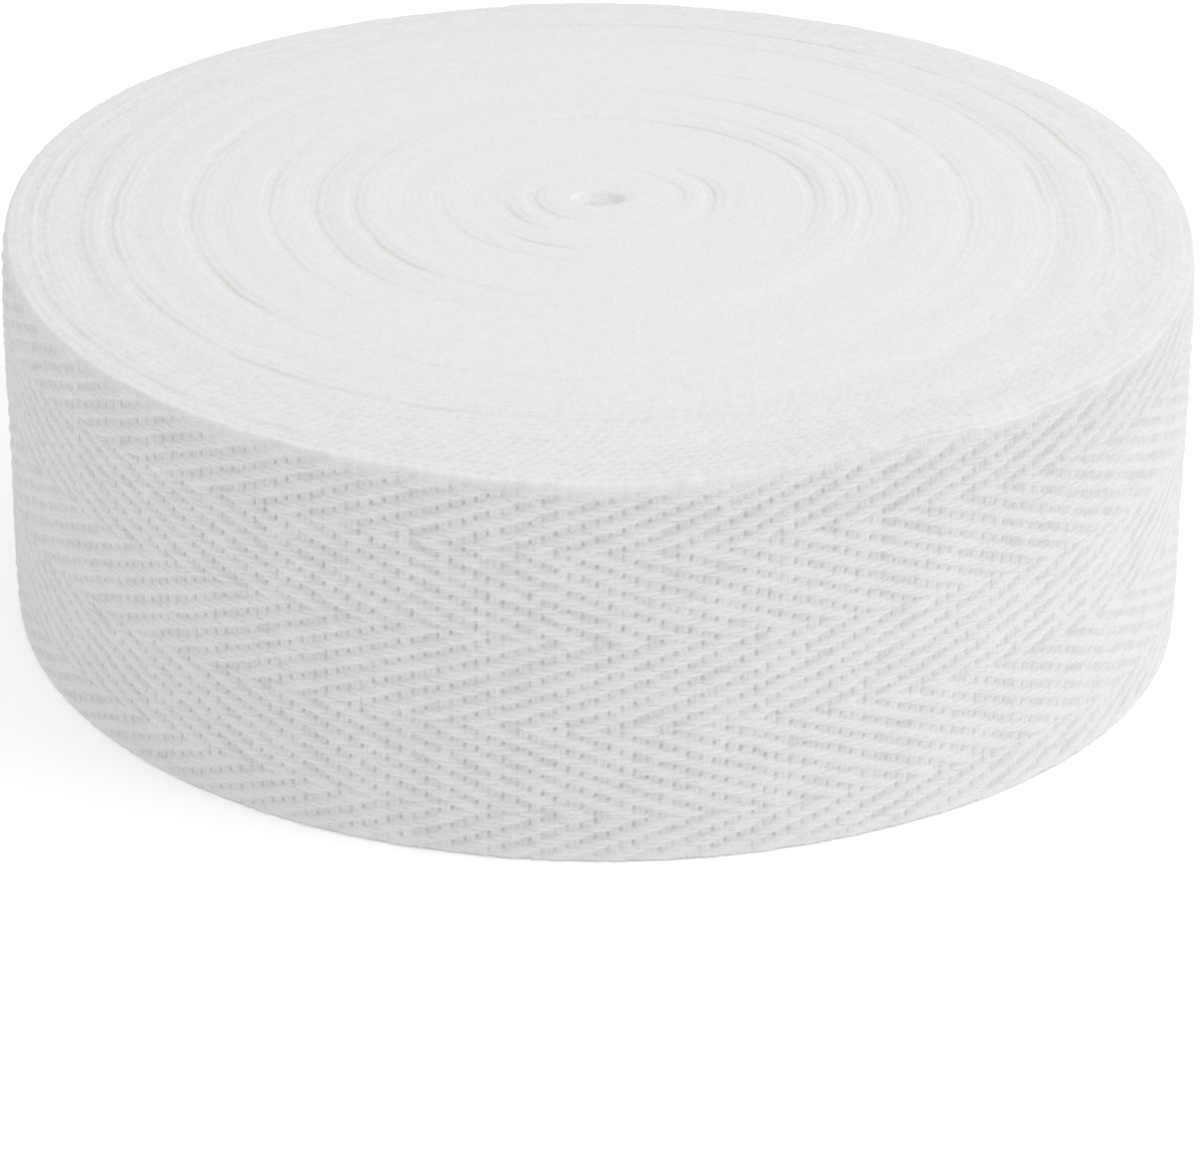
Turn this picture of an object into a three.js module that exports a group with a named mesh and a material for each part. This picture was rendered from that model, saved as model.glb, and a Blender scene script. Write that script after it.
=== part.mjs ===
import * as THREE from 'three';

// A roll of herringbone twill tape: one length of cotton tape wound tightly on itself.
// Millimetres, +Z up. The roll stands on the lower edges of its turns, with its front
// towards -Y. The tape's cut end lies flat against the turn below it, at the back.

// Driving dimensions
const TAPE_WIDTH = 25.4;
const TAPE_THICKNESS = 0.5;
const ROLL_RADIUS = 38;
const EYE_LENGTH = 3.4;
const EYE_WIDTH = 2.2;

// The middle turns are pushed up, so the top is a low crown and the underside is dished.
const CROWN_HEIGHT = 1.4;
const STANDING_SHARE = 0.82;

// The tape's own edges are soft, and the roll's weight presses the foot flatter than the
// rim. Each turns in by its rounding over the same height, with one point between, which
// lies this far in and down, as shares of the rounding.
const RIM_ROUNDING = 0.45;
const FOOT_ROUNDING = 0.22;
const ROUNDING_IN = 0.25;
const ROUNDING_DOWN = 0.5;
const EYE_ROUNDING = 0.3;

// Where the cut end lies, and how steep its step is, in degrees about the axis.
const CUT_END_ANGLE = 100;
const CUT_END_STEP = 0.3;

// A groove between two bands of turns: half its width, how much of its depth is left where
// it is shallowest, and how far round it is deeper than that, in degrees each way. Grooves
// fade out over the last angle beside the cut end.
const GROOVE_HALF_WIDTH = 0.34;
const SHALLOWEST = 0.35;
const GROOVE_SPREAD = 120;
const FADE_ANGLE = 16;

// Bands of turns, from the eye outwards. Each row is one band, in millimetres and degrees.
//   reach:   its outer edge, as a share of the way from the eye to the rim
//   proud:   how far its edges stand above the crown
//   groove:  depth of the groove just outside it
//   deepest: the direction in which that groove is deepest
const BANDS = [
  { reach: 0.13, proud: 0.10, groove: 0.16, deepest: 170 },
  { reach: 0.23, proud: -0.05, groove: 0.20, deepest: 15 },
  { reach: 0.35, proud: 0.08, groove: 0.50, deepest: -20 },
  { reach: 0.43, proud: 0.22, groove: 0.22, deepest: -10 },
  { reach: 0.515, proud: -0.04, groove: 0.18, deepest: 185 },
  { reach: 0.61, proud: 0.12, groove: 0.42, deepest: 200 },
  { reach: 0.68, proud: 0.02, groove: 0.14, deepest: -75 },
  { reach: 0.745, proud: 0.14, groove: 0.40, deepest: 190 },
  { reach: 0.79, proud: -0.06, groove: 0.18, deepest: 5 },
  { reach: 0.86, proud: 0.16, groove: 0.48, deepest: -5 },
  { reach: 0.925, proud: -0.05, groove: 0.26, deepest: 175 },
];
const RIM_BAND_PROUD = 0.06;

// The rim's own rise and fall dies out inwards, at this share of the way from the eye.
const RIM_LIFT_FROM = 0.8;

// The outer turns ride a little higher or lower here and there, and the roll is slightly
// out of round. Each row is one soft swelling: its direction, its spread and its size.
const RIM_LIFTS = [
  { at: -97, spread: 26, size: -0.35 },
  { at: -62, spread: 30, size: 0.45 },
  { at: 28, spread: 55, size: -0.18 },
  { at: 165, spread: 60, size: 0.22 },
];
const OUT_OF_ROUND = [
  { at: 42, spread: 36, size: 0.72 },
  { at: -2, spread: 22, size: -0.30 },
  { at: -38, spread: 34, size: 0.42 },
  { at: 225, spread: 50, size: 0.22 },
  { at: 148, spread: 46, size: 0.48 },
];

// The outer turn's face, from the rim down to the foot. Each row is one height on it.
//   height: share of the tape's width above the foot
//   swell:  how far the face stands outside the roll's radius there
const WALL = [
  { height: 0.93, swell: -0.12 },
  { height: 0.83, swell: 0.10 },
  { height: 0.62, swell: 0.12 },
  { height: 0.38, swell: 0.04 },
  { height: 0.14, swell: 0.06 },
  { height: 0.05, swell: 0.03 },
];

// Stations across the underside, as shares of the way from the eye to the rim.
const UNDERSIDE_SHARES = [0.90, STANDING_SHARE, 0.70, 0.56, 0.42, 0.28, 0.14];
const EYE_STATIONS = 2;

// Columns round the roll.
const COLUMNS = 72;

const COTTON_COLOUR = 0xe9e8e4;
const COTTON_ROUGHNESS = 0.95;

const FULL_TURN = 2 * Math.PI;
const radians = THREE.MathUtils.degToRad;

// The signed angle from one direction to another, between half a turn back and forward.
function turnBetween(from, to) {
  const turn = (to - from) % FULL_TURN;
  if (turn > Math.PI) return turn - FULL_TURN;
  if (turn < -Math.PI) return turn + FULL_TURN;
  return turn;
}

// A soft bump, 1 in its own direction and 0 from its spread outwards.
function bump(angle, at, spread) {
  const away = Math.abs(turnBetween(radians(at), angle)) / radians(spread);
  if (away >= 1) return 0;
  return 0.5 + 0.5 * Math.cos(Math.PI * away);
}

function sumOfBumps(rows, angle) {
  return rows.reduce((sum, row) => sum + row.size * bump(angle, row.at, row.spread), 0);
}

// Rises smoothly from 0 to 1 away from the cut end, on both sides of it.
function clearOfCutEnd(angle) {
  const away = Math.abs(turnBetween(radians(CUT_END_ANGLE), angle)) / radians(FADE_ANGLE);
  return THREE.MathUtils.smoothstep(away, 0, 1);
}

// The radius of the outer turn grows by one thickness in a full turn from the cut end.
function outerRadius(angle, woundShare) {
  const spiral = TAPE_THICKNESS * (woundShare - 0.5);
  return ROLL_RADIUS + spiral + sumOfBumps(OUT_OF_ROUND, angle);
}

function eyeRadius(angle) {
  const halfLength = EYE_LENGTH / 2;
  const halfWidth = EYE_WIDTH / 2;
  const across = halfWidth * Math.cos(angle);
  const along = halfLength * Math.sin(angle);
  return (halfLength * halfWidth) / Math.hypot(across, along);
}

function crown(share) {
  return CROWN_HEIGHT * (1 - share * share);
}

function dish(share) {
  if (share >= STANDING_SHARE) return 0;
  return crown(share / STANDING_SHARE);
}

// How deep a band's groove is in one direction.
function grooveDepth(band, angle) {
  const uneven = SHALLOWEST + (1 - SHALLOWEST) * bump(angle, band.deepest, GROOVE_SPREAD);
  return band.groove * uneven * clearOfCutEnd(angle);
}

// Points over the top face, from the eye to the rim, as pairs of radius and height.
function topPoints(angle, eye, outer) {
  const edge = outer + WALL[0].swell - RIM_ROUNDING;
  const shareOf = (radius) => (radius - eye) / (outer - eye);
  const radiusOf = (share) => eye + share * (outer - eye);
  const points = [];
  let bandStart = eye + EYE_ROUNDING;
  const addBand = (bandEnd, proud) => {
    const middle = (bandStart + bandEnd) / 2;
    const lift = proud * clearOfCutEnd(angle);
    for (const radius of [bandStart, middle, bandEnd]) {
      const share = shareOf(radius);
      const rimLift = sumOfBumps(RIM_LIFTS, angle) * THREE.MathUtils.smoothstep(share, RIM_LIFT_FROM, 1);
      points.push([radius, TAPE_WIDTH + crown(share) + lift + rimLift]);
    }
  };
  for (const band of BANDS) {
    const bottom = radiusOf(band.reach);
    addBand(bottom - GROOVE_HALF_WIDTH, band.proud);
    const besideGroove = points[points.length - 1][1];
    points.push([bottom, besideGroove - grooveDepth(band, angle)]);
    bandStart = bottom + GROOVE_HALF_WIDTH;
  }
  addBand(edge, RIM_BAND_PROUD);
  return points;
}

// Points down the outer turn's face, from under the rim to above the foot.
function wallPoints(outer, rimHeight) {
  const rimIn = RIM_ROUNDING * ROUNDING_IN;
  const rim = [outer + WALL[0].swell - rimIn, rimHeight - RIM_ROUNDING * ROUNDING_DOWN];
  const face = WALL.map((row) => [outer + row.swell, row.height * TAPE_WIDTH]);
  const foot = [outer - FOOT_ROUNDING * ROUNDING_IN, FOOT_ROUNDING * ROUNDING_DOWN];
  return [rim, ...face, foot];
}

// Points inwards over the underside. The outer turns stand flat on the surface.
function undersidePoints(eye, outer) {
  const points = [[outer - FOOT_ROUNDING, 0]];
  for (const share of UNDERSIDE_SHARES) {
    points.push([eye + share * (outer - eye), dish(share)]);
  }
  points.push([eye + EYE_ROUNDING, CROWN_HEIGHT]);
  return points;
}

// Points up the inside of the eye.
function eyePoints(eye) {
  const low = CROWN_HEIGHT + EYE_ROUNDING;
  const high = TAPE_WIDTH + CROWN_HEIGHT - EYE_ROUNDING;
  const points = [];
  for (let i = 0; i < EYE_STATIONS; i++) {
    points.push([eye, THREE.MathUtils.lerp(low, high, i / (EYE_STATIONS - 1))]);
  }
  return points;
}

// The whole section through the roll in one direction, a closed loop of points.
function sectionAt(angle, woundShare) {
  const outer = outerRadius(angle, woundShare);
  const eye = eyeRadius(angle);
  const top = topPoints(angle, eye, outer);
  const rimHeight = top[top.length - 1][1];
  return [...top, ...wallPoints(outer, rimHeight), ...undersidePoints(eye, outer), ...eyePoints(eye)];
}

// One section after another, from the turn under the cut end round to the cut end itself.
// The last section joins the first across the steep step.
function woundForm() {
  const positions = [];
  const indices = [];
  const step = radians(CUT_END_STEP);
  const columns = COLUMNS + 1;
  let rows = 0;
  for (let column = 0; column < columns; column++) {
    const woundShare = column / COLUMNS;
    const angle = radians(CUT_END_ANGLE) + step / 2 + woundShare * (FULL_TURN - step);
    const section = sectionAt(angle, woundShare);
    rows = section.length;
    for (const [radius, height] of section) {
      positions.push(radius * Math.cos(angle), radius * Math.sin(angle), height);
    }
  }
  for (let column = 0; column < columns; column++) {
    const here = column * rows;
    const next = ((column + 1) % columns) * rows;
    for (let row = 0; row < rows; row++) {
      const after = (row + 1) % rows;
      indices.push(here + row, here + after, next + after);
      indices.push(here + row, next + after, next + row);
    }
  }
  const geometry = new THREE.BufferGeometry();
  geometry.setAttribute('position', new THREE.Float32BufferAttribute(positions, 3));
  geometry.setIndex(indices);
  geometry.computeVertexNormals();
  geometry.computeBoundingBox();
  return geometry;
}

function cottonMaterial() {
  return new THREE.MeshStandardMaterial({
    color: COTTON_COLOUR,
    roughness: COTTON_ROUGHNESS,
    metalness: 0,
  });
}

const roll = new THREE.Mesh(woundForm(), cottonMaterial());
roll.name = 'wound_tape';

// The origin is the middle of the footprint, on the surface the roll stands on.
const box = roll.geometry.boundingBox;
const middle = box.getCenter(new THREE.Vector3());
roll.position.set(-middle.x, -middle.y, -box.min.z);

const rollOfTwillTape = new THREE.Group();
rollOfTwillTape.name = 'roll_of_twill_tape';
rollOfTwillTape.add(roll);

export default rollOfTwillTape;
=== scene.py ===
import math
from collections import namedtuple

import bpy
import numpy as np
from mathutils import Matrix, Vector


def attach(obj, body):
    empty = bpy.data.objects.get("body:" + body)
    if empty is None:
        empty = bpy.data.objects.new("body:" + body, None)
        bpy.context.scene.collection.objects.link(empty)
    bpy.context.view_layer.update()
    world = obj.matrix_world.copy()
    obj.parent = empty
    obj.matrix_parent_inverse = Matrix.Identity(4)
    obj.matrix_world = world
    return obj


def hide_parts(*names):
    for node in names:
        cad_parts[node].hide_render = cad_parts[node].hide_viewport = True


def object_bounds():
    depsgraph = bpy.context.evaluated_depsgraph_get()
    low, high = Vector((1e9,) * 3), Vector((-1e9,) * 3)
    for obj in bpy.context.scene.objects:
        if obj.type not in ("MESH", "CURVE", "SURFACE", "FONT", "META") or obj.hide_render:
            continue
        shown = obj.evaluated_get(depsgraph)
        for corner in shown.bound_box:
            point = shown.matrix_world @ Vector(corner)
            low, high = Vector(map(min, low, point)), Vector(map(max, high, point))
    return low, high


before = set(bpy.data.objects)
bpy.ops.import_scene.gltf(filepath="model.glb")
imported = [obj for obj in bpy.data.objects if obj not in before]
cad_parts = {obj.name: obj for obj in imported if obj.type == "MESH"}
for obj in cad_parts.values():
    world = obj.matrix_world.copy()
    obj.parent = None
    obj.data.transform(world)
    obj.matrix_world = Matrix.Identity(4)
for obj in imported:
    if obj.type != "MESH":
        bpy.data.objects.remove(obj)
CAD_LOW, CAD_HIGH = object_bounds()

# A roll of herringbone cotton tape, wound tightly on itself, standing on its lower edges.
# Sizes are millimetres and become metres where a mesh gets its points. Directions are
# degrees about the winding axis, from +X towards +Y, and the front is at -90. A place on
# the tape is counted in turns, from the eye outwards.
MM = 0.001
TAPE_WIDTH = 25.4
TAPE_THICKNESS = 0.5
ROLL_RADIUS = 38.0
EYE_LENGTH = 3.1
EYE_WIDTH = 1.9
TURNS = 74
CUT_END_ANGLE = 100

# The tape's inner end is tucked into the eye and lies a little lower than the rest. Between
# two turns it comes up to the rest.
FIRST_TURN = -1.5
TUCK_DEPTH = 0.50
TUCK_ENDS = (-0.35, 1.1)
INNERMOST_RADIUS = 0.02

# The middle turns are pushed up, so the top is a low crown and the underside is dished. Shares
# are of the way from the eye to the rim: where the roll starts to stand on the surface, and
# where the rim's own rise and fall starts.
CROWN_HEIGHT = 1.4
STANDING_SHARE = 0.82
RIM_LIFT_FROM = 0.8

# How far each turn is pressed into the one below it.
PRESSED = 0.008

# The weave: picks round the outer turn, and warp ends across the tape.
PICKS_ROUND = 306
ENDS = 84

# Bands of turns from the eye outwards. The first column is where a band ends, as a share of
# the way from the eye to the rim, and the second how far its edges stand above the crown.
# One band's height passes into the next over so many turns each way.
RIM_BAND_PROUD = 0.03
BAND_BLEND = 1.5
BANDS = (
    (0.13, 0.05),
    (0.23, -0.03),
    (0.35, 0.04),
    (0.43, 0.11),
    (0.515, -0.02),
    (0.61, 0.06),
    (0.68, 0.01),
    (0.745, 0.07),
    (0.79, -0.03),
    (0.86, 0.08),
    (0.925, -0.03),
)

# Grooves where neighbouring turns part a little.
#   reach: as for bands, at: the direction where it is deepest, depth: how deep it is there,
#   spread: how far it runs each way, in turns
Groove = namedtuple("Groove", "reach at depth spread")
GROOVES = (
    Groove(0.07, 200, 0.12, 0.22),
    Groove(0.11, 25, 0.10, 0.16),
    Groove(0.12, 207, 0.15, 0.09),
    Groove(0.155, 14, 0.12, 0.16),
    Groove(0.18, 243, 0.13, 0.09),
    Groove(0.23, 215, 0.07, 0.20),
    Groove(0.34, 35, 0.14, 0.26),
    Groove(0.38, 197, 0.15, 0.24),
    Groove(0.395, 28, 0.12, 0.22),
    Groove(0.43, 20, 0.08, 0.20),
    Groove(0.455, 203, 0.10, 0.20),
    Groove(0.49, 42, 0.10, 0.22),
    Groove(0.525, 185, 0.09, 0.18),
    Groove(0.61, 25, 0.11, 0.22),
    Groove(0.66, 197, 0.14, 0.28),
    Groove(0.735, 20, 0.10, 0.20),
    Groove(0.77, 38, 0.09, 0.22),
    Groove(0.795, 215, 0.12, 0.32),
    Groove(0.85, 42, 0.16, 0.28),
    Groove(0.86, 185, 0.09, 0.15),
    Groove(0.92, 168, 0.09, 0.20),
    Groove(0.935, 30, 0.09, 0.16),
    Groove(0.955, 207, 0.10, 0.22),
)

# How much a groove's depth changes along it, as a share, and the shares of its depth by which
# the tape's edges beside it, the line where they meet and the lines one turn off go down.
GROOVE_UNEVEN = 0.6
GROOVE_ON_EDGES = 0.4
GROOVE_ON_MEETING = 0.35
GROOVE_BESIDE = 0.22

# Soft swellings: a direction, a spread each way and a size.
Swelling = namedtuple("Swelling", "at spread size")
RIM_LIFTS = (
    Swelling(-88, 28, -0.42),
    Swelling(-62, 30, 0.45),
    Swelling(28, 55, -0.18),
    Swelling(165, 60, 0.22),
)
OUT_OF_ROUND = (
    Swelling(42, 36, 0.72),
    Swelling(-2, 22, -0.30),
    Swelling(-38, 34, 0.42),
    Swelling(225, 50, 0.22),
    Swelling(148, 46, 0.48),
)

# The outer turn's face from the foot up: share of the width, and how far it stands out.
WALL_HEIGHTS = (0.0, 0.05, 0.14, 0.38, 0.62, 0.83, 0.93, 0.975, 1.0)
WALL_SWELLS = (-0.03, 0.03, 0.06, 0.04, 0.12, 0.12, 0.03, -0.05, -0.16)

# Twill zones from the foot up: how many ends each has, and which way its diagonals lean.
# A lean of -1 rises to the right as seen from outside, and 1 falls to the right.
Zone = namedtuple("Zone", "ends lean")
ZONES = (Zone(10, -1), Zone(20, 1), Zone(20, -1), Zone(20, 1), Zone(14, -1))

# The outer turn is made in lengths, from the turn under the cut end round to the cut end,
# each with the directions where it starts and stops.
Length = namedtuple("Length", "name start stop")
OUTER_LENGTHS = (
    Length("outer_turn_back_left", 100, 158),
    Length("outer_turn_left", 158, 216),
    Length("outer_turn_front", 216, 324),
    Length("outer_turn_right", 324, 392),
    Length("outer_turn_back_right", 392, 460),
)

NODE = "wound_tape"

chance = np.random.default_rng(20)


def bump(angle, at, spread):
    """A soft bump over directions in radians: 1 at its middle and 0 from its spread on."""
    away = np.abs((angle - math.radians(at) + np.pi) % (2 * np.pi) - np.pi)
    share = np.minimum(away / math.radians(spread), 1)
    return 0.5 + 0.5 * np.cos(np.pi * share)


def sum_of(swellings, angle):
    return sum(s.size * bump(angle, s.at, s.spread) for s in swellings)


def smooth_step(value, low, high):
    share = np.clip((value - low) / (high - low), 0, 1)
    return share * share * (3 - 2 * share)


Wandering = namedtuple("Wandering", "size spacing")


def wander(places, spacing):
    """A smooth random line over places, from -1 to 1: random heights at even knots."""
    knots = places / spacing
    knots = knots - knots.min()
    before = np.floor(knots).astype(int)
    heights = chance.uniform(-1, 1, before.max() + 2)
    blend = smooth_step(knots - before, 0, 1)
    return heights[before] * (1 - blend) + heights[before + 1] * blend


def wandering(places, line):
    return line.size * wander(places, line.spacing)


# The form of the winding

def eye_radius(angle):
    across = EYE_WIDTH / 2 * np.cos(angle)
    along = EYE_LENGTH / 2 * np.sin(angle)
    return EYE_LENGTH * EYE_WIDTH / 4 / np.hypot(across, along)


def angle_of(turn):
    """The direction of a place on the tape. The cut end is at the last whole turn."""
    return math.radians(CUT_END_ANGLE) + 2 * np.pi * (turn - TURNS)


# The turns lie in soft waves rather than true circles, and neighbours share them.
#   waves: how many waves go round, size: their height, shift: how far they move outwards
Wave = namedtuple("Wave", "waves size shift")
TURN_WAVES = (
    Wave(5, 0.05, 2.1),
    Wave(9, 0.04, -3.3),
    Wave(17, 0.035, 4.2),
    Wave(29, 0.032, -6.0),
    Wave(43, 0.020, 7.0),
)

# A wave comes in as the turns get long enough for it, by millimetres of radius to a wave, and
# all of them fade out near the rim, by share of the way to it.
WAVE_ROOM = (0.25, 0.55)
WAVES_FADE = (0.88, 0.985)


def turn_waves(turn, angle):
    share = turn / TURNS
    waves = np.zeros_like(angle)
    for w in TURN_WAVES:
        line = w.size * np.sin(w.waves * angle + w.waves ** 2 + w.shift * share)
        waves += line * smooth_step(share * ROLL_RADIUS / w.waves, *WAVE_ROOM)
    return waves * (1 - smooth_step(share, *WAVES_FADE))


def face_radius(turn):
    """Radius of the tape's outer face, turn turns out from the eye."""
    angle = angle_of(turn)
    eye = eye_radius(angle)
    rim = ROLL_RADIUS + TAPE_THICKNESS / 2 + sum_of(OUT_OF_ROUND, angle)
    return eye + turn / TURNS * (rim - eye) + turn_waves(turn, angle)


def inner_radius(turn):
    """Radius of the tape's inner face: that of the turn below it. The inner end, with no turn
    below it, is folded and fills the middle of the eye."""
    below = np.where(turn < FIRST_TURN + 1, 0, face_radius(turn - 1) - PRESSED)
    return np.maximum(below, INNERMOST_RADIUS)


MEASURES_PER_TURN = 720


def measure_tape():
    """Lengths along the tape at closely spaced turns, to place picks evenly on it."""
    turn = np.linspace(FIRST_TURN, TURNS, round(MEASURES_PER_TURN * (TURNS - FIRST_TURN)) + 1)
    middle = face_radius(turn) - TAPE_THICKNESS / 2
    angle = angle_of(turn)
    x = middle * np.cos(angle)
    y = middle * np.sin(angle)
    steps = np.hypot(np.diff(x), np.diff(y))
    return turn, np.concatenate([[0], np.cumsum(steps)])


TURN_TABLE, LENGTH_TABLE = measure_tape()
TAPE_LENGTH = LENGTH_TABLE[-1]
OUTER_TURN_LENGTH = TAPE_LENGTH - np.interp(TURNS - 1, TURN_TABLE, LENGTH_TABLE)
PICK = OUTER_TURN_LENGTH / PICKS_ROUND


def crown(share):
    return CROWN_HEIGHT * (1 - share ** 2)


def dish(share):
    return np.where(share < STANDING_SHARE, crown(share / STANDING_SHARE), 0)


def parting(turn):
    """How deep the grooves are that run just outside turn."""
    depth = np.zeros_like(turn)
    for groove in GROOVES:
        part = ((groove.at - CUT_END_ANGLE) / 360) % 1
        middle = round(groove.reach * TURNS - part) + part
        away = np.minimum(np.abs(turn - middle) / groove.spread, 1)
        depth += groove.depth * (0.5 + 0.5 * np.cos(np.pi * away))
    return depth * (1 + GROOVE_UNEVEN * np.interp(turn, TURN_TABLE, QUICK_WANDER))


def band_proud(turn):
    """How far each band's edges stand proud. It changes slowly from band to band."""
    places, heights = [0], [BANDS[0][1]]
    following = [proud for _, proud in BANDS[1:]] + [RIM_BAND_PROUD]
    for (reach, proud), after in zip(BANDS, following):
        places += [reach * TURNS - BAND_BLEND, reach * TURNS + BAND_BLEND]
        heights += [proud, after]
    return np.interp(turn, places, heights)


# The tape's edges wander up and down as it is wound, slowly and quickly, in one line for the
# whole tape. Grooves wander with the quick one.
SLOW_LINE = Wandering(0.018, 70.0)
QUICK_LINE = Wandering(0.008, 3.2)
SLOW_WANDER = wander(LENGTH_TABLE, SLOW_LINE.spacing)
QUICK_WANDER = wander(LENGTH_TABLE, QUICK_LINE.spacing)

# The outermost turns are pressed down and lean in a little, which rounds the rim. Each comes
# in between two shares of the way from the eye to the rim.
RIM_PRESSED = 0.16
RIM_PRESSED_OVER = (0.965, 1.0)
RIM_LEANS_OVER = (0.86, 0.98)


def edge_wander(turn):
    line = SLOW_LINE.size * SLOW_WANDER + QUICK_LINE.size * QUICK_WANDER
    return np.interp(turn, TURN_TABLE, line)


def tucked(turn):
    """How far the first turns lie below the rest, inside the eye."""
    return TUCK_DEPTH * (1 - smooth_step(turn, *TUCK_ENDS))


def top_edge(turn):
    share = (turn - 0.5) / TURNS
    lift = sum_of(RIM_LIFTS, angle_of(turn)) * smooth_step(share, RIM_LIFT_FROM, 1)
    form = TAPE_WIDTH + crown(share) + band_proud(turn) + edge_wander(turn) + lift
    pressed = RIM_PRESSED * smooth_step(share, *RIM_PRESSED_OVER)
    grooves = GROOVE_ON_EDGES * (parting(turn) + parting(turn - 1))
    return form - pressed - tucked(turn) - grooves


def meeting_height(turn):
    """Height at which the edge at turn meets the edge of the next turn out."""
    beside = GROOVE_BESIDE * (parting(turn - 1) + parting(turn + 1))
    own = GROOVE_ON_MEETING * parting(turn)
    return (top_edge(turn) + top_edge(turn + 1)) / 2 - EDGE_ROUNDING - own - beside


def top_lean(turn):
    """How far a turn's edge leans in at the top, to follow the roll's rounded rim."""
    return WALL_SWELLS[-1] * smooth_step(turn / TURNS, *RIM_LEANS_OVER)


def bottom_edge(turn):
    share = (turn - 0.5) / TURNS
    return np.maximum(dish(share) + edge_wander(turn) * (share < STANDING_SHARE), 0)


def outline_middle():
    """Middle of the roll's footprint, seen from its winding axis."""
    turn = np.linspace(TURNS - 1, TURNS, MEASURES_PER_TURN + 1)
    radius = face_radius(turn) + max(WALL_SWELLS)
    x = radius * np.cos(angle_of(turn))
    y = radius * np.sin(angle_of(turn))
    return (x.min() + x.max()) / 2, (y.min() + y.max()) / 2


MIDDLE = outline_middle()
AXIS_X = (CAD_LOW.x + CAD_HIGH.x) / 2 / MM - MIDDLE[0]
AXIS_Y = (CAD_LOW.y + CAD_HIGH.y) / 2 / MM - MIDDLE[1]


def placed(radius, angle, height):
    """Points in metres, from radius, direction and height in millimetres."""
    x = AXIS_X + radius * np.cos(angle)
    y = AXIS_Y + radius * np.sin(angle)
    return np.stack(np.broadcast_arrays(x, y, height), axis=-1) * MM


# Mesh helpers

# Points closer than this, in metres, become one.
WELD = 0.000001


def only(piece):
    bpy.ops.object.select_all(action="DESELECT")
    piece.select_set(True)
    bpy.context.view_layer.objects.active = piece


def flat_strip(name, columns, rows):
    """A flat grid of cloth, as cut: columns run along it, and rows go round its section."""
    bpy.ops.object.select_all(action="DESELECT")
    bpy.ops.mesh.primitive_grid_add(x_subdivisions=columns, y_subdivisions=rows, size=1)
    strip = bpy.context.object
    strip.name = name
    strip.data.name = name
    return strip


def bend_strip(strip, points):
    """Moves the flat strip's points to their places. points has a row for each grid row."""
    strip.data.vertices.foreach_set("co", points.reshape(-1).astype(np.float32))
    strip.data.update()


def note_on_points(strip, name, values):
    """Keeps a number for each point of the strip, for the material to read."""
    attribute = strip.data.attributes.new(name, "FLOAT", "POINT")
    attribute.data.foreach_set("value", values.reshape(-1).astype(np.float32))


def close_strip(strip, columns):
    """Joins the strip's first row to its last and closes both ends, with crisp edges there."""
    only(strip)
    joined = np.zeros(len(strip.data.vertices), dtype=bool)
    joined[:columns + 1] = True
    joined[-columns - 1:] = True
    strip.data.polygons.foreach_set("select", np.zeros(len(strip.data.polygons), dtype=bool))
    strip.data.edges.foreach_set("select", np.zeros(len(strip.data.edges), dtype=bool))
    strip.data.vertices.foreach_set("select", joined)
    bpy.ops.object.mode_set(mode="EDIT")
    bpy.ops.mesh.select_mode(type="VERT")
    bpy.ops.mesh.remove_doubles(threshold=WELD)
    bpy.ops.mesh.select_mode(type="EDGE")
    bpy.ops.mesh.select_all(action="DESELECT")
    bpy.ops.mesh.select_non_manifold()
    bpy.ops.mesh.mark_sharp()
    bpy.ops.mesh.select_all(action="SELECT")
    bpy.ops.mesh.fill_holes(sides=0)
    bpy.ops.mesh.select_all(action="SELECT")
    bpy.ops.mesh.normals_make_consistent(inside=False)
    bpy.ops.mesh.select_mode(type="VERT")
    bpy.ops.object.mode_set(mode="OBJECT")


# The wound turns under the outer one

# The loops of the weft on the tape's edges: how high they stand in the middle and at the rim,
# the shares of the way between which they grow, and how uneven they are.
EDGE_ROUNDING = 0.014
LOOP_HEIGHT = 0.014
RIM_LOOP_HEIGHT = 0.055
LOOPS_GROW = (0.6, 1)
LOOPS_UNEVEN = (0.2, 1.6)

# Close to the eye the tape has finer steps. From here on, in millimetres along it, it has two
# to a pick.
FINE_END = 40.0
FINE_STEP = 0.13

# Edges sharper than these angles stay crisp: on the wound turns, and on the outer turn.
CRISP_ANGLE = 62
CRISP_RIM_ANGLE = 79

# How much painted shade darkens the edges: inside the eye, for each millimetre of a groove's depth
# and for the share of that on the crest between grooves, and between loops. Loops show best at
# the front, where the painted shade between them is strongest.
EYE_SHADE = 0.28
GROOVE_SHADE = 3.8
CREST_SHARE = 0.2
LOOP_SHADE = 0.21
LOOP_SHADE_GROWS = (0.55, 0.95)
LOOPS_CLEAR_LEAST = 0.2
LOOPS_CLEAR = Swelling(-95, 100, 0.8)


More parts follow.
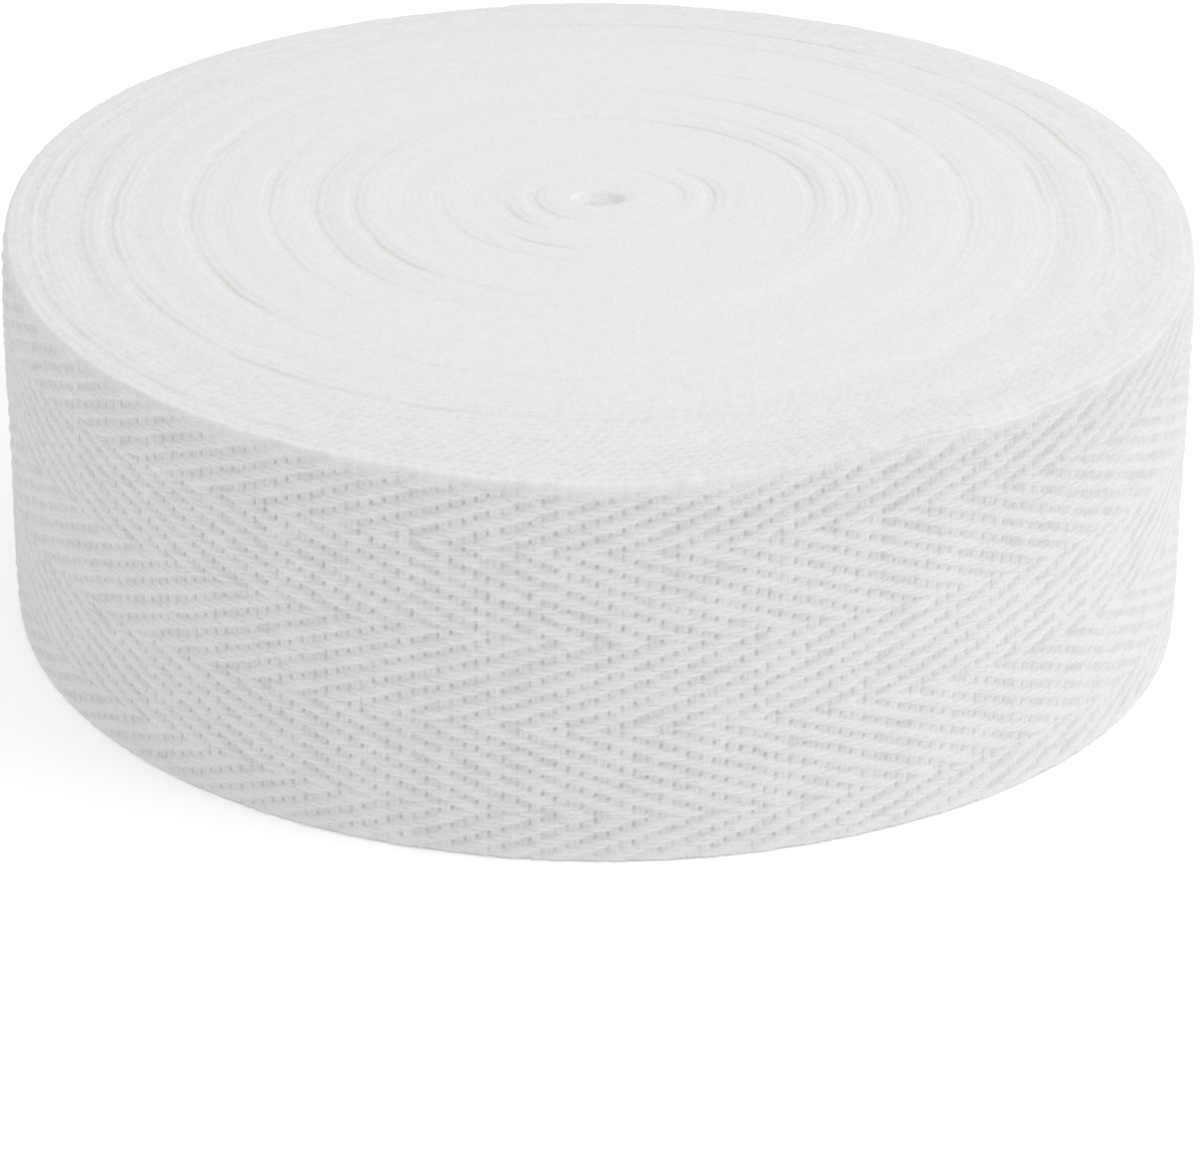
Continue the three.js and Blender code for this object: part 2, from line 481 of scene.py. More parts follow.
def wound_turns(name, first, last):
    """The tape from one turn to another: both faces, and both edges, with the small loops
    of the weft at every pick. The edges are felted together except in the grooves."""
    start = np.interp(first, TURN_TABLE, LENGTH_TABLE)
    end = np.interp(last, TURN_TABLE, LENGTH_TABLE)
    fine = np.arange(start, max(FINE_END, start), FINE_STEP)
    length = np.concatenate([fine, np.arange(max(FINE_END, start), end, PICK / 2), [end]])
    columns = len(length) - 1
    turn = np.interp(length, LENGTH_TABLE, TURN_TABLE)
    angle = angle_of(turn)
    share = turn / TURNS
    high = np.where(np.arange(columns + 1) % 2 == 0, 1.0, -1.0)
    loop_height = LOOP_HEIGHT + (RIM_LOOP_HEIGHT - LOOP_HEIGHT) * smooth_step(share, *LOOPS_GROW)
    loop = loop_height * high * chance.uniform(*LOOPS_UNEVEN, columns + 1)
    outer = face_radius(turn)
    inner = inner_radius(turn)
    middle = (outer + inner) / 2
    lean = top_lean(turn)
    top = top_edge(turn)
    bottom = bottom_edge(turn)
    section = [
        (outer, bottom + EDGE_ROUNDING),
        (outer + lean, meeting_height(turn)),
        (middle + lean, top + loop),
        (inner + lean, meeting_height(turn - 1)),
        (inner, bottom + EDGE_ROUNDING),
        (middle, bottom),
    ]
    section.append(section[0])
    points = np.stack([placed(radius, angle, height) for radius, height in section])
    none = np.zeros_like(turn)
    # Painted shade, kept on the points for the material: inside the eye, in and beside the grooves, and
    # between loops.
    painted_eye_shade = EYE_SHADE * tucked(turn) / TUCK_DEPTH
    outer_painted_shade = painted_eye_shade + GROOVE_SHADE * parting(turn)
    inner_painted_shade = painted_eye_shade + GROOVE_SHADE * parting(turn - 1)
    loop_shade = LOOP_SHADE * (LOOPS_CLEAR_LEAST + sum_of([LOOPS_CLEAR], angle))
    painted_shade_between_loops = loop_shade * smooth_step(share, *LOOP_SHADE_GROWS) * (1 - loop / loop_height)
    edge_painted_shade = painted_eye_shade + CREST_SHARE * (outer_painted_shade + inner_painted_shade) + painted_shade_between_loops
    painted_shade = [none, outer_painted_shade, edge_painted_shade, inner_painted_shade, none, none, none]
    strip = flat_strip(name, columns, len(section) - 1)
    bend_strip(strip, points)
    note_on_points(strip, "painted_shade", np.clip(np.stack(painted_shade), 0, 1))
    close_strip(strip, columns)
    bpy.ops.object.shade_smooth_by_angle(angle=math.radians(CRISP_ANGLE))
    return strip, (end - start) * MM


# The outer turn, woven

# Points to a pick and to an end, and heights above the deepest hollow of the weave. Warp ends
# float over two picks and dive under two; their floats are fat and join in diagonal ridges.
# The roundness of a float and of a dive is a power: the smaller, the fuller the curve.
REPEAT = 4
STEPS_PER_PICK = 4
STEPS_PER_END = 3
CROSSING_HEIGHT = 0.070
FLOAT_HEIGHT = 0.165
FLOAT_REACH = 0.24
FLOAT_ROUNDNESS = 0.78
DIVE_ROUNDNESS = 0.5
WARP_WIDTH = 0.52
FLOAT_WIDENING = 0.13

# The picks show between the ridges, as pairs of strands that lie lower. STRANDS goes across a
# pick: the gap beside it, a strand, the dip between the two, and the other strand. A pick's
# height counts as far as WEFT_SPREAD ends away, and it shows as weft over WEFT_BLEND.
WEFT_HEIGHT = 0.112
STRANDS = (0.0, 1.0, 0.78, 1.0)
WEFT_UNDER = 0.35
WEFT_SPREAD = 0.9
WEFT_BLEND = 0.03

# The weave is shallower at the selvedges, and is measured from its middle height.
SELVEDGE_ENDS = 3.0
SELVEDGE_RELIEF = 0.40
MIDDLE_HEIGHT = 0.15

# Yarns stray a little: how far in millimetres or, for picks, in picks, and over how many picks.
ENDS_STRAY = Wandering(0.045, 5.0)
PICKS_STRAY = Wandering(0.13, 2.0)

# At its two sides the roll is pressed flatter: how much of the weave's depth is lost there, and
# how far the gaps between picks are filled.
FLATTENED = (Swelling(-4, 45, 0.36), Swelling(184, 45, 0.30))
FILLED = (Swelling(-14, 66, 0.82), Swelling(186, 58, 0.62))

# The outer turn's top edge rolls over, in rows that lean in by so many degrees. Each of them,
# and the row after them on the inner side, is felted by a share.
RIM_ROLL = 0.25
RIM_LEANS = (22, 44, 66, 90)
RIM_FELTED = (0.0, 0.15, 0.45, 0.9, 1.0)
FOOT_ROLL = 0.12

# The rim is uneven, most of all at the front. The unevenness starts at a share of the face's
# height and eases by a share over the roll. The loop of each pick lifts the rim a little.
SCALLOPS = (Wandering(0.15, 1.1), Wandering(0.10, 4.0))
SCALLOPS_LEAST = 0.3
SCALLOPS_FRONT = Swelling(-85, 125, 0.7)
SCALLOPS_OVER = (0.965, 1.0)
SCALLOPS_EASED = 0.5
LOOP_LIFT = 0.03

# How much painted shade darkens the face and rim: hollows below a height, by a power of their
# depth; the face's upper part at the right front; and the rim everywhere, between loops and at
# the right front.
HOLLOW_BELOW = 0.175
HOLLOW_POWER = 1.5
UNDER_RIM_SHADE = 0.2
UNDER_RIM_OVER = (0.5, 1.0)
RIM_SHADE = 0.02
RIM_LOOP_SHADE = 0.18
RIM_RIGHT_SHADE = 0.16
RIGHT_FRONT = Swelling(-42, 50, 1)

COLUMNS = PICKS_ROUND * STEPS_PER_PICK


def twill_shifts():
    """For each end from the foot up, how many picks its interlacing is shifted by. Where the
    diagonals turn, the end at the point is shared by both leans."""
    shifts = []
    shift = 0
    for zone in ZONES:
        for _ in range(zone.ends):
            shifts.append(shift)
            shift += zone.lean
    return np.array(shifts)


SHIFTS = twill_shifts()

# No two yarns are quite alike: how high each float is and how far it is out of its place, how
# high each pick is and each spot where it shows, and how full the gap beside it is there.
FLOAT_SWELL = chance.uniform(0.72, 1.22, (ENDS, PICKS_ROUND))
FLOAT_SLIP = chance.uniform(-0.17, 0.17, (ENDS, PICKS_ROUND))
PICK_SWELL = chance.uniform(0.8, 1.15, PICKS_ROUND + 1)
PATCH_SWELL = chance.uniform(0.72, 1.22, (ENDS, PICKS_ROUND + 1))
GAP_FILL = np.clip(chance.uniform(-0.5, 0.6, (ENDS, PICKS_ROUND + 1)), 0, 1)


def warp_end(end, along):
    """How high an end's crest lies at along picks, and half its width there, in ends."""
    float_number = ((along + SHIFTS[end] + 1) // REPEAT).astype(int) % PICKS_ROUND
    swell = FLOAT_SWELL[end, float_number]
    slip = FLOAT_SLIP[end, float_number]
    swing = np.sin(2 * np.pi / REPEAT * (along + slip + SHIFTS[end])) + FLOAT_REACH
    up = np.clip(swing / (1 + FLOAT_REACH), 0, 1) ** FLOAT_ROUNDNESS
    down = np.clip(-swing / (1 - FLOAT_REACH), 0, 1) ** DIVE_ROUNDNESS
    crest = CROSSING_HEIGHT * (1 - down) + FLOAT_HEIGHT * up * swell
    return crest, WARP_WIDTH + FLOAT_WIDENING * up


def weft_over(end, along, filled):
    """How high the pick at along stands over an end, as a share: low where it goes under, about
    1 where it passes over, and little in the gap beside it, which is filled by a share."""
    pick = np.minimum(along.astype(int), PICKS_ROUND)
    swing = np.sin(2 * np.pi / REPEAT * (pick + 0.5 + SHIFTS[end]))
    strand = np.array(STRANDS)[np.arange(len(along)) % STEPS_PER_PICK]
    gap = np.maximum(GAP_FILL[end, pick], filled)
    strand = np.where(strand == 0, gap, strand) * PICK_SWELL[pick]
    return strand * np.where(swing < 0, PATCH_SWELL[end, pick], WEFT_UNDER)


def woven_face(along, filled):
    """Heights of the woven face, and how much of it is weft, three rows to an end."""
    rows = np.arange(ENDS * STEPS_PER_END + 1)
    crests = [warp_end(end, along) for end in range(ENDS)]
    overs = [weft_over(end, along, filled) for end in range(ENDS)]
    heights = np.zeros((len(rows), len(along)))
    weft_share = np.zeros_like(heights)
    for row in rows:
        place = row / STEPS_PER_END
        warp = np.zeros(len(along))
        cover = np.zeros(len(along))
        weight = 0
        for end in range(max(int(place) - 1, 0), min(int(place) + 2, ENDS)):
            away = abs(place - end - 0.5)
            crest, width = crests[end]
            round_part = np.sqrt(np.clip(1 - (away / width) ** 2, 0, 1))
            warp = np.maximum(warp, crest * round_part)
            if away < WEFT_SPREAD:
                cover += overs[end] * (WEFT_SPREAD - away)
                weight += WEFT_SPREAD - away
        weft = WEFT_HEIGHT * cover / weight
        heights[row] = np.maximum(warp, weft)
        weft_share[row] = np.clip((weft - warp) / WEFT_BLEND + 0.5, 0, 1)
        from_edge = min(place, ENDS - place)
        relief = SELVEDGE_RELIEF + (1 - SELVEDGE_RELIEF) * smooth_step(from_edge, 0, SELVEDGE_ENDS)
        heights[row] = MIDDLE_HEIGHT + relief * (heights[row] - MIDDLE_HEIGHT)
    return heights, weft_share


def yarn_wander(along):
    """Each end wanders up and down a little along the tape; rows between ends share it."""
    ends = np.stack([wandering(along, ENDS_STRAY) for _ in range(ENDS + 2)])
    rows = np.arange(ENDS * STEPS_PER_END + 1) / STEPS_PER_END + 0.5
    before = rows.astype(int)
    blend = (rows - before)[:, None]
    line = ends[before] * (1 - blend) + ends[before + 1] * blend
    fade = np.minimum(np.minimum(rows - 0.5, ENDS + 0.5 - rows), 1)
    return line * fade[:, None]


def outer_turn():
    """The whole outer turn: its points and their marks, a row at a time, and where each column
    lies along the tape."""
    along = np.arange(COLUMNS + 1) / STEPS_PER_PICK
    uneven = wandering(along, PICKS_STRAY) * np.minimum(np.minimum(along, PICKS_ROUND - along), 1)
    length = TAPE_LENGTH - OUTER_TURN_LENGTH + (along + uneven) * PICK
    turn = np.interp(length, LENGTH_TABLE, TURN_TABLE)
    angle = angle_of(turn)
    heights, weft_share = woven_face(along, sum_of(FILLED, angle))
    rows = np.arange(ENDS * STEPS_PER_END + 1)
    top = top_edge(turn) - RIM_ROLL
    share = rows[:, None] / (STEPS_PER_END * ENDS)
    height = FOOT_ROLL + (top - FOOT_ROLL)[None, :] * share + yarn_wander(along)
    swells = np.interp(height / TAPE_WIDTH, WALL_HEIGHTS, WALL_SWELLS)
    relief = (heights - MIDDLE_HEIGHT) * (1 - sum_of(FLATTENED, angle))
    radius = face_radius(turn) + swells + relief

    # The rim rolls over in rows from the face to the inner side, with a loop at every pick.
    loops = np.abs(np.sin(np.pi * along)) * PICK_SWELL[np.minimum(along.astype(int), PICKS_ROUND)]
    scallops = sum(wandering(along, line) for line in SCALLOPS)
    scallops = scallops * (SCALLOPS_LEAST + sum_of([SCALLOPS_FRONT], angle))
    height = height + scallops * smooth_step(share, *SCALLOPS_OVER)
    face_top = radius[-1]
    inner_top = inner_radius(turn) + top_lean(turn - 1)
    sections = [(radius[row], height[row]) for row in rows]
    for lean in RIM_LEANS:
        inwards = (face_top - inner_top) / 2 * (1 - math.cos(math.radians(lean)))
        uneven_rim = LOOP_LIFT * loops - SCALLOPS_EASED * scallops * lean / RIM_LEANS[-1]
        upwards = (RIM_ROLL + uneven_rim) * math.sin(math.radians(lean))
        sections.append((face_top - inwards, height[-1] + upwards))
    sections.append((inner_top, meeting_height(turn - 1)))
    sections.append((inner_radius(turn), height[0]))
    sections.append(((inner_radius(turn) + radius[0]) / 2, np.zeros_like(turn)))
    sections.append(sections[0])

    plain = len(sections) - len(rows)
    edge = np.zeros((len(sections), len(along)))
    edge[len(rows):len(rows) + len(RIM_FELTED)] = np.array(RIM_FELTED)[:, None]
    right_front = sum_of([RIGHT_FRONT], angle)
    # Painted shade: in the weave's hollows, on the face under the rim at the right front, and on the
    # rim between loops and at the right front.
    painted_shade = np.clip(1 - heights / HOLLOW_BELOW, 0, 1) ** HOLLOW_POWER
    painted_shade = painted_shade + UNDER_RIM_SHADE * smooth_step(share, *UNDER_RIM_OVER) * right_front
    rim_painted_shade = RIM_SHADE + RIM_LOOP_SHADE * (1 - loops) + RIM_RIGHT_SHADE * right_front
    across = np.arange(len(sections)) * TAPE_WIDTH / ENDS / STEPS_PER_END
    marks = {
        "painted_shade": np.vstack([painted_shade, np.zeros((plain, len(along)))]),
        "weft": np.vstack([weft_share, np.full((plain, len(along)), 0.5)]),
        "edge": edge,
        "rim_painted_shade": np.tile(rim_painted_shade, (len(sections), 1)),
        "along": np.tile(length - length[0], (len(sections), 1)),
        "across": np.tile(across[:, None], len(along)),
    }
    points = np.stack([placed(r, angle, h) for r, h in sections])
    return points, marks, length


def outer_length(part, points, marks):
    """One length of the outer turn, closed at both ends."""
    first, last = (round((edge - CUT_END_ANGLE) / 360 * PICKS_ROUND) * STEPS_PER_PICK
                   for edge in (part.start, part.stop))
    strip = flat_strip(part.name, last - first, len(points) - 1)
    bend_strip(strip, points[:, first:last + 1])
    for name, values in marks.items():
        note_on_points(strip, name, values[:, first:last + 1])
    close_strip(strip, last - first)
    bpy.ops.object.shade_smooth_by_angle(angle=math.radians(CRISP_RIM_ANGLE), keep_sharp_edges=True)
    return strip, first, last


# Loose cotton fibres

# A fibre's bend and tip: how far each lies along it and to the side, as shares of its length.
# Its width is in millimetres, and this share of it is left at the bend.
FIBRE_WIDTH = 0.018
FIBRE_TAPER = 0.75
FIBRE_BEND = (0.55, 0.10)
FIBRE_TIP = (0.90, 0.42)


def fibres(name, roots, directions, lengths):
    """Fine curved fibres, each a three-sided spike with one bend, joined in one mesh."""
    count = len(roots)
    directions = directions / np.linalg.norm(directions, axis=1, keepdims=True)
    side = np.cross(directions, chance.normal(size=(count, 3)))
    side /= np.linalg.norm(side, axis=1, keepdims=True)
    other = np.cross(directions, side)
    reach = directions * lengths[:, None]
    curl = side * lengths[:, None]
    bend = roots + reach * FIBRE_BEND[0] + curl * FIBRE_BEND[1]
    tips = roots + reach * FIBRE_TIP[0] + curl * FIBRE_TIP[1]
    rings = []
    for centre, width in ((roots, FIBRE_WIDTH), (bend, FIBRE_WIDTH * FIBRE_TAPER)):
        for corner in range(3):
            turn = 2 * math.pi * corner / 3
            offset = math.cos(turn) * side + math.sin(turn) * other
            rings.append(centre + offset * width / 2)
    points = np.stack([*rings, tips], axis=1)
    quads = np.array([(0, 1, 4, 3), (1, 2, 5, 4), (2, 0, 3, 5)])
    triangles = np.array([(3, 4, 6), (4, 5, 6), (5, 3, 6), (2, 1, 0)])
    starts = np.arange(count)[:, None, None] * points.shape[1]
    faces = (quads[None] + starts).reshape(-1, 4).tolist()
    faces += (triangles[None] + starts).reshape(-1, 3).tolist()
    mesh = bpy.data.meshes.new(name)
    mesh.from_pydata((points.reshape(-1, 3) * MM).tolist(), [], faces)
    mesh.update()
    piece = bpy.data.objects.new(name, mesh)
    bpy.context.scene.collection.objects.link(piece)
    only(piece)
    bpy.ops.object.shade_smooth()
    return piece


# How deep fibres root below the rim, the top and the face, and, at the cut end, between which
# depths. The margins keep those on the face and the cut end off the tape's edges.
RIM_ROOTS = 0.06
TOP_ROOTS = 0.08
FACE_ROOTS = 0.04
CUT_END_ROOTS = (0.05, 0.4)
FACE_MARGINS = (0.4, 0.6)
CUT_END_MARGIN = 0.2


def rim_places(count):
    turn = chance.uniform(TURNS - 1, TURNS, count)
    radius = face_radius(turn) + WALL_SWELLS[-1] - chance.uniform(0, TAPE_THICKNESS, count)
    return radius, angle_of(turn), top_edge(turn) - RIM_ROOTS


def top_places(count):
    turn = np.interp(chance.uniform(0, TAPE_LENGTH, count), LENGTH_TABLE, TURN_TABLE)
    radius = face_radius(turn) - chance.uniform(0, TAPE_THICKNESS, count)
    return radius, angle_of(turn), top_edge(turn) - TOP_ROOTS


def face_places(count):
    turn = chance.uniform(TURNS - 1, TURNS, count)
    height = chance.uniform(FACE_MARGINS[0], TAPE_WIDTH - FACE_MARGINS[1], count)
    swells = np.interp(height / TAPE_WIDTH, WALL_HEIGHTS, WALL_SWELLS)
    return face_radius(turn) + swells - FACE_ROOTS, angle_of(turn), height


def cut_end_places(count):
    turn = np.full(count, float(TURNS))
    height = chance.uniform(CUT_END_MARGIN, TAPE_WIDTH - CUT_END_MARGIN, count)
    return face_radius(turn) - chance.uniform(*CUT_END_ROOTS, count), angle_of(turn), height


# The lots of loose fibres: where they root, how many there are, and the shape and scale of the
# gamma distribution of their lengths. Their directions have three parts: outwards, along the
# tape and up. Each part has a steady share and a random one, which may go one way only.
Part = namedtuple("Part", "steady random one_way")
Lot = namedtuple("Lot", "places count shape scale directions")
FIBRE_LOTS = (
    Lot(rim_places, 1500, 3.0, 0.09, (Part(0, 0.8, False), Part(0, 1, False), Part(0.25, 0.5, True))),
    Lot(top_places, 800, 3.0, 0.12, (Part(0, 1, False), Part(0, 1, False), Part(0.15, 0.3, True))),
    Lot(face_places, 600, 3.0, 0.10, (Part(0.3, 0.4, True), Part(0, 1, False), Part(0, 1, False))),
    Lot(cut_end_places, 250, 4.0, 0.14, (Part(0, 0.25, True), Part(1, 0, False), Part(0, 0.35, False))),
)


def scattered(angle, parts):
    """Random directions for fibres that root at angle."""
    none = np.zeros_like(angle)
    outwards = np.stack([np.cos(angle), np.sin(angle), none], axis=1)
    alongwards = np.stack([-np.sin(angle), np.cos(angle), none], axis=1)
    upwards = np.array([[0.0, 0.0, 1.0]])
    numbers = chance.normal(size=(len(angle), 3))
    directions = np.zeros_like(numbers)
    for axis, part, number in zip((outwards, alongwards, upwards), parts, numbers.T):
        if part.one_way:
            number = np.abs(number)
        directions += axis * (part.steady + part.random * number)[:, None]
    return directions


def strewn(lot):
    """Roots, directions and lengths of one lot of fibres."""
    radius, angle, height = lot.places(lot.count)
    directions = scattered(angle, lot.directions)
    return placed(radius, angle, height) / MM, directions, chance.gamma(lot.shape, lot.scale, lot.count)


def loose_fibres():
    lots = [strewn(lot) for lot in FIBRE_LOTS]
    roots, directions, lengths = (np.concatenate(group) for group in zip(*lots))
    return fibres("cotton_fuzz", roots, directions, lengths)


# Finishes

# Bleached cotton: matt, with the soft sheen of fine fibres.
COTTON_SURFACE = {
    "Roughness": 0.95,
    "Specular IOR Level": 0.15,
    "Sheen Weight": 0.25,
    "Sheen Roughness": 0.5,
}
EDGE_COTTON = (0.888, 0.886, 0.881, 1)
# The warm colour that the painted shade of grooves, the eye and the gaps between loops mixes towards;
# the felt's random mottle mixes towards it too.
MOTTLE_AND_SHADE_COTTON = (0.70, 0.686, 0.66, 1)
# The woven face's cotton, darker than the edges': partly painted shade for the weave's self-shading.
SHADED_FACE_COTTON = (0.767, 0.765, 0.762, 1)
# The colour that the painted shade in the weave's hollows mixes towards; the yarns' random grain mixes
# towards it too.
GRAIN_AND_SHADE_COTTON = (0.42, 0.42, 0.42, 1)
WHITE = (1, 1, 1, 1)

# Painted light: single fibres let light through, so they glow a little to look as light as the cloth.
FIBRE_GLOW = 0.22

# The felted edges have a fine grain and a broader mottle, both per metre, with no direction.
FELT_GRAIN = {"Scale": 3600.0, "Detail": 3.0, "Roughness": 0.65}
FELT_MOTTLE = {"Scale": 1500.0, "Detail": 3.0, "Roughness": 0.6}
FELT_RELIEF = {"Strength": 0.6, "Distance": 0.00012}

# The woven face's grain: how fine it is along and across the tape, per millimetre, on warp and
# on weft, and for broader patches.
WARP_GRAIN = (3.2, 12.0)
WEFT_GRAIN = (11.0, 2.2)
PATCHES = (0.22, 0.5)
YARN_NOISE = {"Scale": 1.0, "Detail": 2.0, "Roughness": 0.6}
WOVEN_RELIEF = {"Strength": 0.8, "Distance": 0.00008}

# How much noises, and the painted shade in hollows, darken the colour. A noise has a factor and a
# share added to it, which evens it out.
MOTTLE_SHADE = (0.62, -0.28)
GRAIN_SHADE = (0.75, -0.37)
PATCH_SHADE = (0.3, -0.15)
FELT_HOLLOW_SHADE = 0.9
WOVEN_HOLLOW_SHADE = 0.78


def node(tree, kind, inputs):
    made = tree.nodes.new(kind)
    set_inputs(made, inputs)
    return made


def set_inputs(made, inputs):
    for name, value in inputs.items():
        made.inputs[name].default_value = value


def finish(name, surface):
    material = bpy.data.materials.new(name)
    material.use_nodes = True
    tree = material.node_tree
    shader = tree.nodes["Principled BSDF"]
    set_inputs(shader, surface)
    return material, tree, shader


def mark(tree, name):
    """Reads a number that is kept on the piece's points."""
    reader = tree.nodes.new("ShaderNodeAttribute")
    reader.attribute_name = name
    return reader.outputs["Fac"]


def mixed_colour(tree, factor, first, second):
    """Mixes two colours, each a plain colour or the output of a node."""
    mix = tree.nodes.new("ShaderNodeMix")
    mix.data_type = "RGBA"
    sockets = [socket for socket in mix.inputs if socket.type == "RGBA"]
    for socket, colour in zip(sockets, (first, second)):
        if isinstance(colour, tuple):
            socket.default_value = colour
        else:
            tree.links.new(colour, socket)
    tree.links.new(factor, mix.inputs["Factor"])
    return [socket for socket in mix.outputs if socket.type == "RGBA"][0]


def times_plus(tree, value, factor, added):
    """value x factor + added, where added is a number or another output."""
    sum_node = tree.nodes.new("ShaderNodeMath")
    sum_node.operation = "MULTIPLY_ADD"
    sum_node.inputs[1].default_value = factor
    tree.links.new(value, sum_node.inputs[0])
    if isinstance(added, float):
        sum_node.inputs[2].default_value = added
    else:
        tree.links.new(added, sum_node.inputs[2])
    return sum_node.outputs[0]


def noise_at(tree, place, inputs):
    noise = node(tree, "ShaderNodeTexNoise", inputs)
    tree.links.new(place, noise.inputs["Vector"])
    return noise.outputs["Fac"]


def grain_along(tree, place, fineness):
    """Noise that is as fine along and across the tape as the two numbers say."""
    scaled = node(tree, "ShaderNodeMapping", {"Scale": (*fineness, 1)})
    tree.links.new(place, scaled.inputs["Vector"])
    return noise_at(tree, scaled.outputs["Vector"], YARN_NOISE)


def add_relief(tree, shader, height, relief):
    bumps = node(tree, "ShaderNodeBump", relief)
    tree.links.new(height, bumps.inputs["Height"])
    tree.links.new(bumps.outputs["Normal"], shader.inputs["Normal"])


def felt(tree, painted_shade):
    """Colour and grain of edges that are felted together, with a random mottle. Hollows get painted
    shade, darker and warmer.
    """
    place = tree.nodes.new("ShaderNodeTexCoord").outputs["Object"]
    spots = times_plus(tree, noise_at(tree, place, FELT_MOTTLE), *MOTTLE_SHADE)
    shade = times_plus(tree, painted_shade, FELT_HOLLOW_SHADE, spots)
    return mixed_colour(tree, shade, EDGE_COTTON, MOTTLE_AND_SHADE_COTTON), noise_at(tree, place, FELT_GRAIN)


def woven_cotton():
    """The woven face: fibres run along each yarn, and the hollows between yarns get painted shade. Over
    the rim it passes into felt, which has painted shade of its own."""
    material, tree, shader = finish("woven_cotton", COTTON_SURFACE)
    joined = tree.nodes.new("ShaderNodeCombineXYZ")
    tree.links.new(mark(tree, "along"), joined.inputs["X"])
    tree.links.new(mark(tree, "across"), joined.inputs["Y"])
    place = joined.outputs["Vector"]
    mix = tree.nodes.new("ShaderNodeMix")
    tree.links.new(mark(tree, "weft"), mix.inputs["Factor"])
    tree.links.new(grain_along(tree, place, WARP_GRAIN), mix.inputs["A"])
    tree.links.new(grain_along(tree, place, WEFT_GRAIN), mix.inputs["B"])
    grain = mix.outputs["Result"]
    patches = times_plus(tree, grain_along(tree, place, PATCHES), *PATCH_SHADE)
    uneven = times_plus(tree, times_plus(tree, grain, *GRAIN_SHADE), 1.0, patches)
    shade = times_plus(tree, mark(tree, "painted_shade"), WOVEN_HOLLOW_SHADE, uneven)
    face = mixed_colour(tree, shade, SHADED_FACE_COTTON, GRAIN_AND_SHADE_COTTON)
    felted, _ = felt(tree, mark(tree, "rim_painted_shade"))
    colour = mixed_colour(tree, mark(tree, "edge"), face, felted)
    tree.links.new(colour, shader.inputs["Base Color"])
    add_relief(tree, shader, grain, WOVEN_RELIEF)
    return material


def edge_cotton():
    """The tape's edges, felted together."""
    material, tree, shader = finish("edge_cotton", COTTON_SURFACE)
    colour, grain = felt(tree, mark(tree, "painted_shade"))
    tree.links.new(colour, shader.inputs["Base Color"])
    add_relief(tree, shader, grain, FELT_RELIEF)
    return material


def glowing_fibre_cotton():
    material, _, shader = finish("glowing_fibre_cotton", COTTON_SURFACE)
    # Painted light: a faint white glow on the fibres.
    glow = {"Base Color": EDGE_COTTON, "Emission Color": WHITE, "Emission Strength": FIBRE_GLOW}
    set_inputs(shader, glow)
    return material


def dress(piece, material):
    """Finishes a piece: it rides with the roll and stands for it, as the roll's CAD part is hidden."""
    piece.data.materials.clear()
    piece.data.materials.append(material)
    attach(piece, "root")
    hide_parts(NODE)


# The making

woven = woven_cotton()
edges = edge_cotton()

# The wound turns are made in two lengths, which part here.
SPLIT_TURN = 52
WOUND_LENGTHS = (
    Length("inner_turns", FIRST_TURN, SPLIT_TURN),
    Length("outer_turns", SPLIT_TURN, TURNS - 1),
)
for part in WOUND_LENGTHS:
    strip, length = wound_turns(part.name, part.start, part.stop)
    dress(strip, edges)

outer_points, outer_marks, outer_places = outer_turn()
for part in OUTER_LENGTHS:
    strip, first, last = outer_length(part, outer_points, outer_marks)
    dress(strip, woven)

dress(loose_fibres(), glowing_fibre_cotton())


# Floor, light and camera

# Sizes of the floor and the light are metres.
FLOOR_SIZE = 3.0
FLOOR_SURFACE = {
    "Base Color": (0.97, 0.97, 0.97, 1),
    "Emission Color": WHITE,
    "Emission Strength": 0.22,
    "Roughness": 0.9,
    "Specular IOR Level": 0.1,
}

# Light comes from a white sky and a soft square light at the right. The light's irradiance is a
# share of what a white sky gives.
SKY_STRENGTH = 0.79
KEY_DIRECTION = (0.829, -0.191, 0.526)
KEY_DISTANCE = 1.2
KEY_SIZE = 0.9
KEY_IRRADIANCE = 0.34

# The camera that fits the photo: its elevation and roll in degrees, its distance from the
# roll's middle in millimetres, how far it is turned aside and up, as slopes, and its lens on a
# sensor so wide. It shows what lies between the nearest and the farthest distance, in metres.
CAMERA_ELEVATION = 25.39
CAMERA_ROLL = 0.41
CAMERA_DISTANCE = 348.8
CAMERA_YAW = 0.0006
CAMERA_PITCH = -0.0352
CAMERA_LENS = 161.15
SENSOR_WIDTH = 36
NEAREST = 0.01
FARTHEST = 10


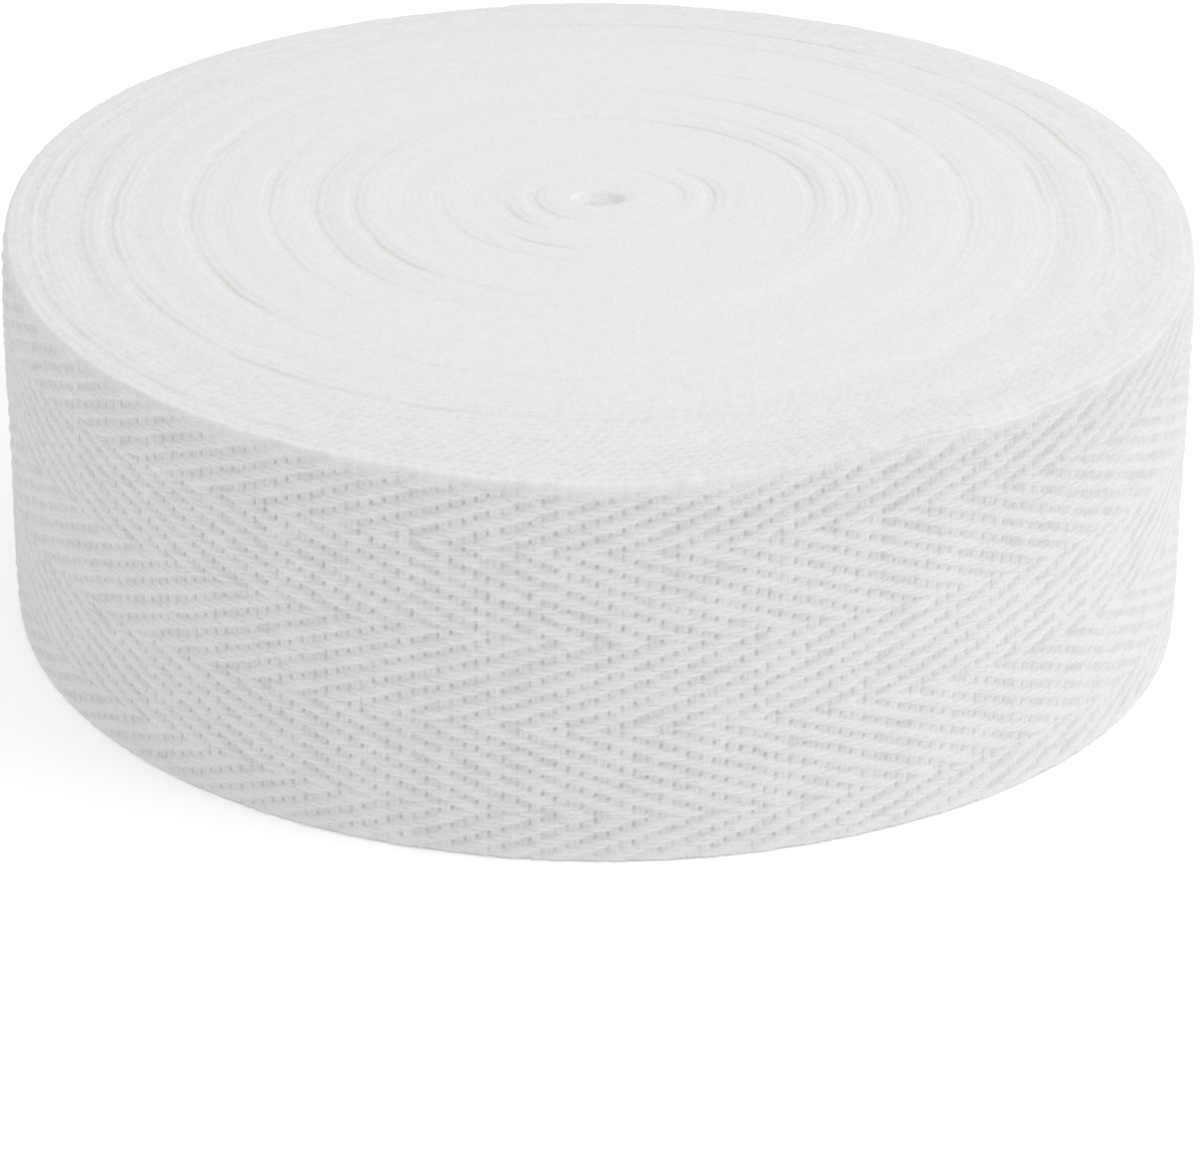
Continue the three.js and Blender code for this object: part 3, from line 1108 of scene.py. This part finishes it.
def pale_floor():
    bpy.ops.object.select_all(action="DESELECT")
    bpy.ops.mesh.primitive_plane_add(size=FLOOR_SIZE, location=(0, 0, 0))
    floor = bpy.context.object
    floor.name = "floor"
    material, _, _ = finish("pale_floor", FLOOR_SURFACE)
    floor.data.materials.append(material)


def soft_light():
    lamp = bpy.data.lights.new("key", "AREA")
    lamp.shape = "SQUARE"
    lamp.size = KEY_SIZE
    lamp.energy = KEY_IRRADIANCE * math.pi ** 2 * KEY_DISTANCE ** 2
    light = bpy.data.objects.new("key", lamp)
    towards = Vector(KEY_DIRECTION).normalized()
    light.location = towards * KEY_DISTANCE + Vector((0, 0, TAPE_WIDTH / 2 * MM))
    light.rotation_euler = towards.to_track_quat("Z", "Y").to_euler()
    bpy.context.scene.collection.objects.link(light)


def white_sky():
    world = bpy.data.worlds.new("white_sky")
    bpy.context.scene.world = world
    world.use_nodes = True
    set_inputs(world.node_tree.nodes["Background"], {"Color": WHITE, "Strength": SKY_STRENGTH})


def photo_camera():
    """Looks down at the roll from the front, aimed a little below it."""
    elevation = math.radians(CAMERA_ELEVATION)
    back = Vector((0, -math.cos(elevation), math.sin(elevation)))
    right = Vector((1, 0, 0))
    up = back.cross(right)
    forward = (-back + CAMERA_YAW * right + CAMERA_PITCH * up).normalized()
    across = forward.cross(up).normalized()
    upright = across.cross(forward)
    turn = math.radians(CAMERA_ROLL)
    x_axis = math.cos(turn) * across + math.sin(turn) * upright
    y_axis = math.cos(turn) * upright - math.sin(turn) * across
    lens = bpy.data.cameras.new("photo_camera")
    lens.lens = CAMERA_LENS
    lens.sensor_width = SENSOR_WIDTH
    lens.clip_start = NEAREST
    lens.clip_end = FARTHEST
    camera = bpy.data.objects.new("photo_camera", lens)
    camera.rotation_euler = Matrix((x_axis, y_axis, -forward)).transposed().to_euler()
    middle = Vector((AXIS_X, AXIS_Y, TAPE_WIDTH / 2))
    camera.location = (middle + back * CAMERA_DISTANCE) * MM
    bpy.context.scene.collection.objects.link(camera)
    bpy.context.scene.camera = camera


pale_floor()
white_sky()
soft_light()
photo_camera()
bpy.context.scene.view_settings.view_transform = "Standard"
